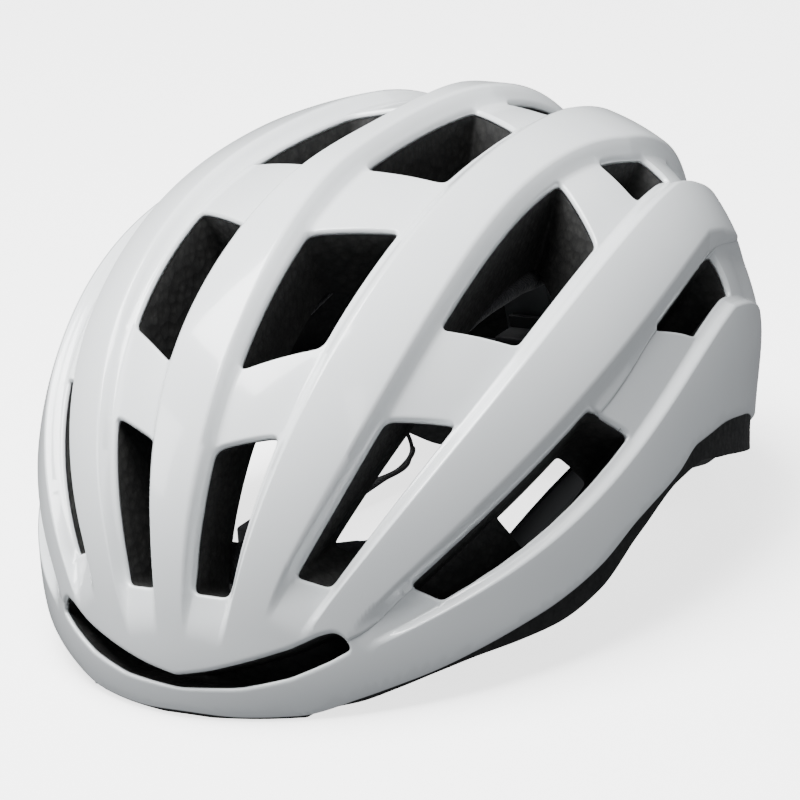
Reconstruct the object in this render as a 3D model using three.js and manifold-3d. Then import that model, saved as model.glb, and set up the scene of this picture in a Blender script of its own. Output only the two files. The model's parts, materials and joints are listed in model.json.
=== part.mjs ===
// A road cycling helmet: an in-mould shell in two pieces over a foam liner, with its comfort pads,
// the rear fit system (belts, pinion, dial) and the chin-strap harness folded up inside.
// Millimetres. Z is up, the brow faces -Y, the wearer's left is +X, and the rim stands on z = 0.

import * as THREE from 'three';
import { mergeVertices } from 'three/addons/utils/BufferGeometryUtils.js';
import Module from 'manifold-3d';

const wasm = await Module();
wasm.setup();

// ---------------------------------------------------------------- driving dimensions

const DOME = new THREE.Vector3(0, -0.65, 27.5);  // centre of the dome
const HALF_WIDTH = 109;
const FRONT_REACH = 148.3;
const REAR_REACH = 152;
const CROWN_RISE = 121.7;
const KEEL_DROP = 82;                          // only shapes how the dome closes below the rim
const PLAN_SQUARENESS = [1.93, 2.19];          // superellipse powers, front and rear
const SIDE_SQUARENESS = [2.39, 2.77];
const POLE_DROP = 65;                          // the meridians' common axis lies this far below the centre

const SHELL_THICKNESS = 1.0;
const FIT_GAP = 0.3;                           // clearance between pieces that touch
const TUCK = 13;                               // how far the tail curls in at the rim
const TUCK_HEIGHT = 38;

const CAVITY = { y: -9, z: 27.5, halfWidth: 82, halfLength: 114, rise: 92, power: 2.2 };
const RIM_FLARE = { across: 0.25, along: 0.1, height: 30 };  // how much the cavity widens towards the rear rim

// Channels between the ribs, as meridian angles of their inner and outer edges at four stations.
const CHANNEL_STATIONS = [35, 60, 85, 110];
const CHANNELS = [
  { inner: [5.4, 4.9, 3.2, 3.6], outer: [13.2, 13, 11.4, 9.4], depth: 4.5, begins: 24, ends: 142 },
  { inner: [24.2, 23.4, 20.2, 20.4], outer: [30.2, 30.4, 27.8, 24], depth: 5, begins: 29, ends: 140 },
  { inner: [40, 41, 38.4, 33.6], outer: [42.5, 47.6, 43.6, 37.8], depth: 3.5, begins: 33, ends: 132 },
];
const RIB_EDGE = 1.5;                          // angle over which a rib's side rises
const CREST = { rise: 2.2, begins: 58, full: 82, fades: 104, ends: 128 };  // swell of the centre rib

// Each vent lies in a channel, between its front and rear ends, given on the inner and outer edge.
// One with `opensAt` is a shallow recess in the foam ahead of that line. One with `lean` has a rear
// wall that leans back inside, by that angle at the tunnel's inner end.
const VENTS = [
  { channel: 0, front: [29.1, 29.7], rear: [43.6, 46.9], lean: 15 },
  { channel: 0, front: [51.6, 56.9], rear: [68.3, 72.6] },
  { channel: 0, front: [82.9, 83.9], rear: [104.4, 100.1] },
  { channel: 0, front: [110.5, 108.8], rear: [134, 130] },
  { channel: 1, front: [35, 36.2], rear: [54.5, 59.6], lean: 20 },
  { channel: 1, front: [65.7, 71], rear: [93.6, 89.2] },
  { channel: 1, front: [102.9, 102.1], rear: [111.1, 111.5] },
  { channel: 1, front: [120, 119], rear: [133, 131] },
  { channel: 2, front: [42.6, 44.5], rear: [75.5, 80.1], opensAt: [58.4, 60] },
  { channel: 2, front: [92.1, 100.4], rear: [111, 112] },
];
const VENT_CORNER = 1.4;                       // degrees taken off each vent corner

// Curves round the helmet: height above the floor at each bearing from the brow.
const LINER_RIM = [[0, 0.8], [7.5, 0], [15, 0], [18, 3.2], [23, 4.6], [28, 7.5], [34, 10.8], [40, 13.1], [47, 14.4],
  [54, 16], [63, 22], [73, 34.4], [86, 44.4], [94, 45.6], [102, 42], [110, 38], [120, 32], [130, 24], [140, 16],
  [150, 8], [157.5, 0], [165, 0], [172.5, 8], [180, 13]];
const SHELL_RIM = [[0, 2], [7.5, 1.2], [15, 1.4], [23, 5.8], [28, 8.6], [34, 11.7], [40, 15.2], [47, 19.2], [54, 23.1],
  [63, 29.6], [73, 39.3], [86, 46.9], [94, 51.8], [103, 51.7], [115, 47.6], [130, 34], [140, 25], [150, 15],
  [157.5, 6], [165, 6], [172.5, 13], [180, 18]];
const SHELL_SEAM = [[0, 13.3], [5, 15], [10, 17.5], [15, 20.7], [19.5, 24.5], [24, 28], [31, 38.8], [42, 53.7],
  [52, 63.6], [61, 71.2], [67, 74.2], [93.5, 90.6], [104.6, 92.9], [125, 97.7], [140, 90], [155, 80], [180, 72]];
const BROW_SLOT_TOP = [[4.7, 18.2], [10, 22], [15, 25.6], [18.8, 29.4], [20.6, 29.9], [21.8, 27.5]];
const BROW_SLOT_BOTTOM = [[22.5, 23.6], [19.7, 20.4], [14.6, 15.7], [8.3, 12.5], [3, 11.8]];
const BROW_SLOT_MIDDLE = [15.6, 11.2];         // its upper and lower edge on the midline
const SLOT_DEPTH = 14;

// Comfort pads on the cavity's wall.
const PAD_BED = 2.2;                           // from the wall to a pad's back
const PAD_THICKNESS = 6;
const BROW_PAD = { bearings: 46, middle: 42, halfHeight: 8 };
const RIB_PADS = {
  centre_pad: { meridian: 0, halfWidth: 3.6, stations: [62, 112] },
  crown_pad: { meridian: 17.5, halfWidth: 3, stations: [60, 116] },
  side_pad: { meridian: 32.5, halfWidth: 3, stations: [68, 106] },
};

// Fit system: two toothed belts turn on the temple pins and meet at the dial behind the head.
const TEMPLE = { x: 66, y: -62, z: 23.5 };     // where a belt's eye sits on its pin
const PIN_RADIUS = 2;
const RUNNING_GAP = 0.05;
const TEMPLE_PLUG = { radius: 5, from: 73, to: 82 };
const BELT = { thickness: 1.6, height: 12 };
const BELT_PATH = [[66, -62, 23.5], [67.6, -48, 29], [70, -24, 36.5], [71, 0, 41], [69, 26, 42.5], [63.5, 48, 41],
  [55.5, 66, 38.5], [48.5, 75.5, 36.6], [43.5, 78.6, 36], [38, 79, 36]];
const DIAL = { y: 79, z: 36, knobRadius: 13, knobFrom: 5, knobTo: 12.6 };
const HOUSING = { halfWidth: 34, halfHeight: 14, front: -2, floor: 2.2, back: 4.5, channel: 11.2, corner: 5 };
const COVER = { front: -4.1, back: -2.3 };
const TOOTH_MODULE = 1;
const PINION_TEETH = 12;
const PITCH_RADIUS = TOOTH_MODULE * PINION_TEETH / 2;
const RACK = { thickness: 3, tip: 5.35, root: 7.4, back: 10.4, end: -18, block: [35, 41] };
const SHAFT_RADIUS = 3;
const STEM_RADIUS = 156;                       // the stem and its rail curve about the temple pins
const RAIL = { radius: 157, halfWidth: 9, angles: [8.5, 17.5] };

// Harness
const WEBBING = { width: 15, thickness: 1.4 };
const STRAP_PLUG = { radius: 4.5, length: 8 };
const STRAP_PLUGS = { front: [60.6, -86, 20.5], rear: [62, 66, 29] };
const DIVIDER = { x: 52, y: 4, lower: 1.9, upper: 4.9, top: 6.6, halfWidth: 11, halfLength: 12 };
const BUCKLE = { y: -66, z: 5, halfHeight: 4.4 };

// ---------------------------------------------------------------- materials

const finish = (color, roughness, metalness = 0) => new THREE.MeshStandardMaterial({ color, roughness, metalness });
const GLOSS_WHITE = finish(0xe6eaec, 0.18);
const FOAM = finish(0x1c1c1b, 0.85);
const PAD = finish(0x24262a, 0.95);
const NYLON = finish(0x1a1b1d, 0.5);
const GREY_NYLON = finish(0x3a3d41, 0.45);
const RUBBER = finish(0x111213, 0.8);
const STRAP = finish(0x18191b, 0.9);
const STEEL = finish(0xb9bcc0, 0.35, 0.9);

// ---------------------------------------------------------------- solids

function toSolid(geometry) {
  const bare = geometry.clone();
  bare.deleteAttribute('normal');
  bare.deleteAttribute('uv');
  const merged = mergeVertices(bare, 1e-4);
  return new wasm.Manifold(new wasm.Mesh({
    numProp: 3,
    vertProperties: new Float32Array(merged.attributes.position.array),
    triVerts: new Uint32Array(merged.index.array),
  }));
}

function toGeometry(solid) {
  const mesh = solid.getMesh();
  const geometry = new THREE.BufferGeometry();
  geometry.setAttribute('position', new THREE.BufferAttribute(new Float32Array(mesh.vertProperties), 3));
  geometry.setIndex(new THREE.BufferAttribute(new Uint32Array(mesh.triVerts), 1));
  return geometry;
}

function solidFrom(points, triangles) {
  const geometry = new THREE.BufferGeometry();
  geometry.setAttribute('position', new THREE.Float32BufferAttribute(points.flatMap((p) => [p.x, p.y, p.z]), 3));
  geometry.setIndex(triangles);
  return toSolid(geometry);
}

// A closed tube of rings that all hold the same number of points, capped at both ends.
function ringSolid(rings) {
  const count = rings[0].length;
  const points = rings.flat();
  const triangles = [];
  for (let ring = 0; ring + 1 < rings.length; ring += 1) {
    for (let i = 0; i < count; i += 1) {
      const next = (i + 1) % count;
      const a = ring * count + i;
      const b = ring * count + next;
      const c = (ring + 1) * count + next;
      const d = (ring + 1) * count + i;
      triangles.push(a, b, c, a, c, d);
    }
  }
  const last = (rings.length - 1) * count;
  for (const fan of capTriangles(rings[0])) {
    triangles.push(fan[0], fan[2], fan[1]);
  }
  for (const fan of capTriangles(rings[rings.length - 1])) {
    triangles.push(last + fan[0], last + fan[1], last + fan[2]);
  }
  return solidFrom(points, triangles);
}

// Triangles of an end cap, found in the plane that faces the cap best.
function capTriangles(ring) {
  const centre = ring.reduce((sum, p) => sum.add(p), new THREE.Vector3()).divideScalar(ring.length);
  const normal = new THREE.Vector3();
  ring.forEach((p, i) => {
    const q = ring[(i + 1) % ring.length];
    normal.add(p.clone().sub(centre).cross(q.clone().sub(centre)));
  });
  normal.normalize();
  const u = ring[0].clone().sub(centre);
  u.addScaledVector(normal, -u.dot(normal)).normalize();
  const v = normal.clone().cross(u);
  const flat = ring.map((p) => {
    const offset = p.clone().sub(centre);
    return new THREE.Vector2(offset.dot(u), offset.dot(v));
  });
  return THREE.ShapeUtils.triangulateShape(flat, []);
}

function extrude(shape, depth) {
  return new THREE.ExtrudeGeometry(shape, { depth, bevelEnabled: false, curveSegments: 8 });
}

// A turned piece: [radius, station] pairs along an axis, given from one end on the axis to the other.
function turned(profile, axis, place, sides = 20) {
  const points = [[0, profile[0][1]], ...profile, [0, profile[profile.length - 1][1]]];
  const lathe = new THREE.LatheGeometry(points.map(([r, h]) => new THREE.Vector2(r, h)), sides);
  const turn = new THREE.Quaternion().setFromUnitVectors(new THREE.Vector3(0, 1, 0), axis);
  lathe.applyQuaternion(turn).translate(place.x, place.y, place.z);
  return toSolid(lathe);
}

// ---------------------------------------------------------------- curves

const degrees = THREE.MathUtils.degToRad;
const smooth = (x) => THREE.MathUtils.smoothstep(x, 0, 1);

// Cubic through four stations, held constant beyond them.
function throughStations(values, station) {
  const at = THREE.MathUtils.clamp(station, CHANNEL_STATIONS[0], CHANNEL_STATIONS[3]);
  let sum = 0;
  values.forEach((value, i) => {
    let weight = 1;
    CHANNEL_STATIONS.forEach((other, j) => {
      if (j !== i) weight *= (at - other) / (CHANNEL_STATIONS[i] - other);
    });
    sum += value * weight;
  });
  return sum;
}

// Monotone cubic through [bearing, height] pairs, mirrored about the midline.
function heightAt(curve, bearing) {
  const x = Math.abs(bearing);
  const slopes = curve.map((point, i) => {
    if (i === 0 || i === curve.length - 1) return 0;
    const before = (point[1] - curve[i - 1][1]) / (point[0] - curve[i - 1][0]);
    const after = (curve[i + 1][1] - point[1]) / (curve[i + 1][0] - point[0]);
    return before * after > 0 ? 2 * before * after / (before + after) : 0;
  });
  let i = 0;
  while (i < curve.length - 2 && x > curve[i + 1][0]) i += 1;
  const span = curve[i + 1][0] - curve[i][0];
  const t = (x - curve[i][0]) / span;
  const rise = t * t * (3 - 2 * t);
  const leave = t * (1 - t) * (1 - t) * span;
  const arrive = t * t * (t - 1) * span;
  return curve[i][1] * (1 - rise) + curve[i + 1][1] * rise + slopes[i] * leave + slopes[i + 1] * arrive;
}

const CAVITY_CENTRE = new THREE.Vector3(0, CAVITY.y, CAVITY.z);
const MERIDIAN_POLE = new THREE.Vector3(0, 0, -POLE_DROP).add(DOME);

// ---------------------------------------------------------------- dome

// 1 on the dome that is `lift` outside the basic one, less inside it.
function domeGauge(p, lift) {
  const rearward = smooth(0.5 + 0.5 * THREE.MathUtils.clamp(1.6 * p.y / p.length(), -1, 1));
  const plan = THREE.MathUtils.lerp(PLAN_SQUARENESS[0], PLAN_SQUARENESS[1], rearward);
  const side = THREE.MathUtils.lerp(SIDE_SQUARENESS[0], SIDE_SQUARENESS[1], rearward);
  const reach = (p.y < 0 ? FRONT_REACH : REAR_REACH) + lift;
  const rise = (p.z > 0 ? CROWN_RISE : KEEL_DROP) + lift;
  const inPlan = Math.abs(p.x / (HALF_WIDTH + lift)) ** plan + Math.abs(p.y / reach) ** plan;
  return (inPlan ** (side / plan) + Math.abs(p.z / rise) ** side) ** (1 / side);
}

function domeHit(direction, lift) {
  let near = 5;
  let far = 260;
  const p = new THREE.Vector3();
  for (let step = 0; step < 30; step += 1) {
    const middle = (near + far) / 2;
    p.copy(direction).multiplyScalar(middle);
    p.z -= POLE_DROP;
    if (domeGauge(p, lift) < 1) near = middle;
    else far = middle;
  }
  return p.copy(direction).multiplyScalar(near).add(new THREE.Vector3(0, 0, -POLE_DROP));
}

// Direction from the meridian axis: `meridian` turns about Y, `station` runs from brow to tail.
function meridianDirection(meridian, station) {
  const m = degrees(meridian);
  const s = degrees(station);
  return new THREE.Vector3(Math.sin(m) * Math.sin(s), -Math.cos(s), Math.cos(m) * Math.sin(s));
}

function domePoint(meridian, station, lift) {
  const direction = meridianDirection(meridian, station);
  const p = domeHit(direction, lift);
  const bearing = THREE.MathUtils.radToDeg(Math.atan2(Math.abs(p.x), -p.y));
  const tuck = TUCK * smooth((TUCK_HEIGHT - p.z) / TUCK_HEIGHT) * smooth((bearing - 112) / 35);
  return (tuck > 0 ? domeHit(direction, lift - tuck) : p).add(DOME);
}

function channelEdges(channel, station) {
  return [throughStations(channel.inner, station), throughStations(channel.outer, station)];
}

function channelDepth(channel, station) {
  return channel.depth * smooth((station - channel.begins) / 8) * smooth((channel.ends - station) / 12);
}

function crestRise(station) {
  const swells = smooth((station - CREST.begins) / (CREST.full - CREST.begins));
  return CREST.rise * swells * smooth((CREST.ends - station) / (CREST.ends - CREST.fades));
}

// Meridians of the dome's grid on one side at a station, with how far each lies below the plain dome.
function gridColumns(station) {
  const crest = crestRise(station);
  const columns = [[0, -crest]];
  CHANNELS.forEach((channel, i) => {
    const [inner, outer] = channelEdges(channel, station);
    const depth = channelDepth(channel, station);
    columns.push([inner - RIB_EDGE, i === 0 ? -crest : 0], [inner, depth], [outer, depth], [outer + RIB_EDGE, 0]);
  });
  [60, 85, 130].forEach((meridian) => columns.push([meridian, 0]));
  return columns;
}

function domeSolid(lift) {
  const rings = [];
  for (let station = 8; station < 175; station += 11.7) {
    const half = gridColumns(station);
    const ring = half.map(([meridian, depth]) => domePoint(meridian, station, lift - depth));
    ring.push(domePoint(180, station, lift));
    half.slice(1).reverse().forEach(([meridian, depth]) => ring.push(domePoint(-meridian, station, lift - depth)));
    rings.push(ring);
  }
  return ringSolid(rings);
}

// Everything between a curve round the helmet and a level below the floor, or above the crown.
// The curve's surface is level along each bearing.
function curveBlock(curve, offset, level) {
  const bearings = Array.from({ length: 48 }, (unused, i) => i * 7.5 - 180);
  const ring = (radius, height) => bearings.map((bearing) => new THREE.Vector3(
    DOME.x + radius * Math.sin(degrees(bearing)),
    DOME.y - radius * Math.cos(degrees(bearing)),
    height === undefined ? heightAt(curve, bearing) + offset : height,
  ));
  const rings = [ring(30), ring(250), ring(250, level)];
  const middle = heightAt(curve, 90);
  const points = [...rings.flat(), new THREE.Vector3(DOME.x, DOME.y, middle), new THREE.Vector3(DOME.x, DOME.y, level)];
  const count = bearings.length;
  const triangles = [];
  bearings.forEach((bearing, i) => {
    const next = (i + 1) % count;
    for (let r = 0; r < 2; r += 1) {
      const [a, b] = [r * count + i, r * count + next];
      triangles.push(a, a + count, b + count, a, b + count, b);
    }
    triangles.push(3 * count, i, next, 3 * count + 1, 2 * count + next, 2 * count + i);
  });
  if (level > middle) {
    for (let t = 0; t < triangles.length; t += 3) [triangles[t], triangles[t + 1]] = [triangles[t + 1], triangles[t]];
  }
  return solidFrom(points, triangles);
}

function cavitySolid() {
  const sphere = new THREE.SphereGeometry(1, 28, 12);
  sphere.rotateX(Math.PI / 2);
  const position = sphere.attributes.position;
  const p = new THREE.Vector3();
  for (let i = 0; i < position.count; i += 1) {
    p.fromBufferAttribute(position, i);
    p.divideScalar(cavityGauge(p, 0));
    const flare = THREE.MathUtils.clamp(-p.z / RIM_FLARE.height, 0, 1) * smooth(p.y / 80);
    p.x *= 1 + RIM_FLARE.across * flare;
    p.y *= 1 + RIM_FLARE.along * flare;
    p.add(CAVITY_CENTRE);
    position.setXYZ(i, p.x, p.y, p.z);
  }
  return toSolid(sphere);
}

// 1 on the head cavity's wall, less inside it; the wall runs straight down below the cavity's centre.
function cavityGauge(p, inset) {
  const { halfWidth, halfLength, rise, power } = CAVITY;
  const height = p.z > 0 ? rise - inset : 300;
  return (Math.abs(p.x / (halfWidth - inset)) ** power + Math.abs(p.y / (halfLength - inset)) ** power
    + Math.abs(p.z / height) ** power) ** (1 / power);
}

// Where a ray from a point inside the cavity meets the surface `inset` within its wall.
function cavityHit(from, direction, inset) {
  let near = 0;
  let far = 200;
  for (let step = 0; step < 30; step += 1) {
    const middle = (near + far) / 2;
    const p = from.clone().addScaledVector(direction, middle).sub(CAVITY_CENTRE);
    if (cavityGauge(p, inset) < 1) near = middle;
    else far = middle;
  }
  return from.clone().addScaledVector(direction, near);
}

// ---------------------------------------------------------------- vents and brow slot

// A vent's outline as [meridian, station] pairs, its corners cut by short curves.
function ventOutline(vent) {
  const channel = CHANNELS[vent.channel];
  const corner = (edge, station) => new THREE.Vector2(channelEdges(channel, station)[edge], station);
  const middle = (edge, from, to) => corner(edge, (from + to) / 2);
  const [innerFront, outerFront] = vent.front;
  const [innerRear, outerRear] = vent.rear;
  const sides = [
    [corner(0, innerFront), middle(0, innerFront, innerRear), corner(0, innerRear)],
    [corner(0, innerRear), corner(1, outerRear)],
    [corner(1, outerRear), middle(1, outerRear, outerFront), corner(1, outerFront)],
    [corner(1, outerFront), corner(0, innerFront)],
  ];
  const outline = [];
  sides.forEach((side) => {
    const first = side[0];
    const second = side[1];
    const beforeLast = side[side.length - 2];
    const last = side[side.length - 1];
    const cutIn = Math.min(VENT_CORNER, first.distanceTo(second) / 3);
    const cutOut = Math.min(VENT_CORNER, last.distanceTo(beforeLast) / 3);
    outline.push(first.clone().add(second.clone().sub(first).setLength(cutIn)));
    side.slice(1, -1).forEach((p) => outline.push(p));
    outline.push(last.clone().add(beforeLast.clone().sub(last).setLength(cutOut)));
  });
  return outline;
}

// A prism into the wall whose sides run towards the meridian axis, down to a part of the dome's size.
function ventPrism(vent, side, inner = 0.55) {
  const outline = ventOutline(vent);
  if (side > 0) outline.reverse();
  const middle = (vent.front[0] + vent.rear[0]) / 2;
  const ring = (scale, lean = 0) => outline.map(([meridian, station]) => {
    const leant = station > middle ? station + lean : station;
    const out = domePoint(side * meridian, leant, 0).sub(MERIDIAN_POLE);
    return out.multiplyScalar(scale).add(MERIDIAN_POLE);
  });
  const rings = vent.lean ? [ring(inner, vent.lean), ring(0.97), ring(1.12)] : [ring(inner), ring(1.12)];
  return ringSolid(rings);
}

// The brow slot's prism, from a depth behind the shell's face out to the open air.
function slotPrism(innerRadius) {
  const half = [...BROW_SLOT_TOP, ...BROW_SLOT_BOTTOM];
  const otherHalf = half.map(([bearing, height]) => [-bearing, height]).reverse();
  const [upper, lower] = BROW_SLOT_MIDDLE;
  const outline = [[0, upper], ...half, [0, lower], ...otherHalf].reverse();
  const ring = (radius) => outline.map(([bearing, height]) => new THREE.Vector3(
    DOME.x + radius * Math.sin(degrees(bearing)),
    DOME.y - radius * Math.cos(degrees(bearing)),
    height,
  ));
  return ringSolid([ring(innerRadius), ring(FRONT_REACH + 20)]);
}

// ---------------------------------------------------------------- assembly helpers

const helmet = new THREE.Group();

function add(name, shape, material) {
  const geometry = shape.isBufferGeometry ? shape : toGeometry(shape);
  geometry.computeVertexNormals();
  const mesh = new THREE.Mesh(geometry, material);
  mesh.name = name;
  helmet.add(mesh);
}

function mirrored(solid) {
  const geometry = toGeometry(solid).scale(-1, 1, 1);
  const index = geometry.index.array;
  for (let i = 0; i < index.length; i += 3) [index[i], index[i + 1]] = [index[i + 1], index[i]];
  return toSolid(geometry);
}

function addPair(name, leftSolid, material) {
  add(`${name}_left`, leftSolid, material);
  add(`${name}_right`, mirrored(leftSolid), material);
}

const X_AXIS = new THREE.Vector3(1, 0, 0);
const Y_AXIS = new THREE.Vector3(0, 1, 0);
const Z_AXIS = new THREE.Vector3(0, 0, 1);

// ---------------------------------------------------------------- shell and liner

const RECESS = 0.93;                           // part of the dome's size that a blind recess keeps
const bothSides = (vent, inner) => [ventPrism(vent, 1, inner), ventPrism(vent, -1, inner)];
const shellVents = VENTS.flatMap((vent) => bothSides(vent));
const foamVents = VENTS.flatMap((vent) => (vent.opensAt
  ? [...bothSides(vent, RECESS), ...bothSides({ ...vent, front: vent.opensAt })]
  : bothSides(vent)));
const cutAway = (blank, cutters) => cutters.reduce((body, cutter) => body.subtract(cutter), blank);

const largestPiece = (solid) => solid.decompose().reduce((a, b) => (a.volume() > b.volume() ? a : b));

const skin = cutAway(
  domeSolid(0).subtract(domeSolid(-SHELL_THICKNESS)),
  [curveBlock(SHELL_RIM, 0, -220), slotPrism(100), ...shellVents],
);
add('crown_shell', largestPiece(skin.subtract(curveBlock(SHELL_SEAM, FIT_GAP / 2, -220))), GLOSS_WHITE);
add('lower_shell', largestPiece(skin.subtract(curveBlock(SHELL_SEAM, -FIT_GAP / 2, 320))), GLOSS_WHITE);

const plugPocket = ([x, y, z], radius, depth) => turned(
  [[radius + FIT_GAP, -12], [radius + FIT_GAP, depth + FIT_GAP]],
  X_AXIS,
  new THREE.Vector3(x, y, z),
  12,
);
const pockets = [
  plugPocket([TEMPLE_PLUG.from, TEMPLE.y, TEMPLE.z], TEMPLE_PLUG.radius, TEMPLE_PLUG.to - TEMPLE_PLUG.from),
  plugPocket(STRAP_PLUGS.front, STRAP_PLUG.radius, STRAP_PLUG.length),
  plugPocket(STRAP_PLUGS.rear, STRAP_PLUG.radius, STRAP_PLUG.length),
];
const linerCuts = [cavitySolid(), curveBlock(LINER_RIM, 0, -220), slotPrism(FRONT_REACH - SLOT_DEPTH), ...foamVents];
add('eps_liner', cutAway(domeSolid(-SHELL_THICKNESS - FIT_GAP), [...linerCuts, ...pockets, ...pockets.map(mirrored)]), FOAM);

// ---------------------------------------------------------------- comfort pads

// A pad's section: position across it and height over its back, in parts of its half width and thickness.
const PAD_SECTION = [[-1, 0.4], [-0.8, 0], [0.8, 0], [1, 0.4], [0.62, 1], [-0.62, 1]];

// A cushion along the cavity's wall. `ray` gives the start and direction that reach the wall at a
// position along the pad and across it, both from -1 to 1.
function cushion(ray, steps) {
  const rings = [];
  for (let i = 0; i <= steps; i += 1) {
    const along = 2 * i / steps - 1;
    const ending = i === 0 || i === steps;
    const spread = ending ? 0.62 : 1;
    rings.push(PAD_SECTION.map(([across, height]) => {
      const [from, direction] = ray(along, across * spread);
      const lift = ending ? 0.15 + height * 0.5 : height;
      return cavityHit(from, direction, PAD_BED + PAD_THICKNESS * lift);
    }));
  }
  return ringSolid(rings);
}

function browRay(along, across) {
  const bearing = degrees(along * BROW_PAD.bearings);
  const from = new THREE.Vector3(0, CAVITY.y, BROW_PAD.middle - across * BROW_PAD.halfHeight);
  return [from, new THREE.Vector3(Math.sin(bearing), -Math.cos(bearing), 0)];
}

function ribRay(pad, along, across) {
  const [first, last] = pad.stations;
  const station = first + (last - first) * (along + 1) / 2;
  return [MERIDIAN_POLE, meridianDirection(pad.meridian + across * pad.halfWidth, station)];
}

add('brow_pad', cushion(browRay, 10), PAD);
const ribPad = (name, steps) => cushion((along, across) => ribRay(RIB_PADS[name], along, across), steps);
add('centre_pad', ribPad('centre_pad', 6), PAD);
addPair('crown_pad', ribPad('crown_pad', 7), PAD);
addPair('side_pad', ribPad('side_pad', 6), PAD);

// ---------------------------------------------------------------- temple pins and strap plugs

const along = (x) => x - TEMPLE.x;
addPair('temple_anchor', turned([
  [3.4, along(52.6)], [3.4, along(54.2)], [PIN_RADIUS, along(54.2)], [PIN_RADIUS, along(72.6)],
  [4.2, along(72.6)], [4.2, along(TEMPLE_PLUG.from)], [TEMPLE_PLUG.radius, along(TEMPLE_PLUG.from)],
  [TEMPLE_PLUG.radius, along(TEMPLE_PLUG.to)],
], X_AXIS, new THREE.Vector3(TEMPLE.x, TEMPLE.y, TEMPLE.z), 16), NYLON);

const strapPlug = ([x, y, z]) => turned([
  [STRAP_PLUG.radius + 1.5, -3], [STRAP_PLUG.radius + 1.5, -1.6], [STRAP_PLUG.radius, -1.6],
  [STRAP_PLUG.radius, STRAP_PLUG.length],
], X_AXIS, new THREE.Vector3(x, y, z), 12);

// ---------------------------------------------------------------- ribbons

const vector = ([x, y, z]) => new THREE.Vector3(x, y, z);

// A flat strip along a smooth path. Each path point has the direction of the strip's width there.
// `swell` makes it larger all round, which cuts the clearance for the strip in another piece.
function ribbon(path, acrosses, width, thickness, steps, swell = 0) {
  const points = path.map(vector);
  const curve = new THREE.CatmullRomCurve3(points, false, 'centripetal');
  const turn = new THREE.CatmullRomCurve3(acrosses.map(vector), false, 'centripetal');
  const rings = [];
  for (let i = 0; i <= steps; i += 1) {
    const t = i / steps;
    const tangent = curve.getTangent(t);
    const p = curve.getPoint(t);
    if (i === 0) p.addScaledVector(tangent, -swell);
    if (i === steps) p.addScaledVector(tangent, swell);
    const across = turn.getPoint(t);
    across.addScaledVector(tangent, -across.dot(tangent)).normalize();
    const normal = tangent.clone().cross(across);
    rings.push([[-1, -1], [1, -1], [1, 1], [-1, 1]].map(([u, v]) => p.clone()
      .addScaledVector(across, u * (width / 2 + swell))
      .addScaledVector(normal, v * (thickness / 2 + swell))));
  }
  return ringSolid(rings);
}

// ---------------------------------------------------------------- fit belts

const TOOTH_PITCH = Math.PI * TOOTH_MODULE;
const dialAt = new THREE.Vector3(0, DIAL.y, DIAL.z);

// An outline in the x-z plane through the dial, given as a thickness in y about it.
function plate(outline, front, back) {
  const shape = new THREE.Shape(outline.map(([x, z]) => new THREE.Vector2(x, z)));
  const geometry = extrude(shape, back - front);
  geometry.rotateX(Math.PI / 2).translate(0, back, 0).translate(dialAt.x, dialAt.y, dialAt.z);
  return toSolid(geometry);
}

function rackOutline() {
  const teeth = [];
  for (let tooth = 7; tooth >= -5; tooth -= 1) {
    const middle = (tooth + 0.5) * TOOTH_PITCH;
    teeth.push([middle + 0.95, RACK.root], [middle + 0.38, RACK.tip], [middle - 0.38, RACK.tip], [middle - 0.95, RACK.root]);
  }
  const [blockFrom, blockTo] = RACK.block;
  return [
    [RACK.end, RACK.back], [blockTo, RACK.back], [blockTo, -BELT.height / 2], [blockFrom, -BELT.height / 2],
    [blockFrom, RACK.root], ...teeth, [RACK.end, RACK.root],
  ].reverse();
}

const strip = ribbon(BELT_PATH, BELT_PATH.map(() => [0, 0, 1]), BELT.height, BELT.thickness, 18);
const eyeAt = new THREE.Vector3(TEMPLE.x, TEMPLE.y, TEMPLE.z);
const eye = turned([[6.6, -BELT.thickness / 2 - 0.3], [6.6, BELT.thickness / 2 + 0.3]], X_AXIS, eyeAt, 16);
const eyeBore = turned([[PIN_RADIUS + RUNNING_GAP, -6], [PIN_RADIUS + RUNNING_GAP, 6]], X_AXIS, eyeAt, 16);
const rack = plate(rackOutline(), -RACK.thickness / 2, RACK.thickness / 2);
const beltLeft = strip.add(eye).subtract(eyeBore).add(rack);
add('fit_belt_left', beltLeft, NYLON);
// The right belt's rack runs under the pinion, the left belt's over it.
const stripRight = mirrored(strip.add(eye).subtract(eyeBore));
const rackRight = plate(rackOutline().map(([x, z]) => [-x, -z]), -RACK.thickness / 2, RACK.thickness / 2);
add('fit_belt_right', stripRight.add(rackRight), NYLON);

// ---------------------------------------------------------------- cradle

function roundedBox(halfWidth, halfHeight, corner) {
  const points = [];
  [[1, 1, 0], [-1, 1, 90], [-1, -1, 180], [1, -1, 270]].forEach(([sx, sz, start]) => {
    for (let turnBy = 0; turnBy <= 90; turnBy += 30) {
      const angle = degrees(start + turnBy);
      points.push([
        sx * (halfWidth - corner) + corner * Math.cos(angle),
        sz * (halfHeight - corner) + corner * Math.sin(angle),
      ]);
    }
  });
  return points;
}

const box = (from, to) => {
  const geometry = new THREE.BoxGeometry(to[0] - from[0], to[1] - from[1], to[2] - from[2]);
  geometry.translate((from[0] + to[0]) / 2, (from[1] + to[1]) / 2, (from[2] + to[2]) / 2);
  return toSolid(geometry);
};

// A piece turned about the dial's axis: stations run from the head towards the back.
const aboutDial = (profile, sides) => turned(profile, Y_AXIS, dialAt, sides);

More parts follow.
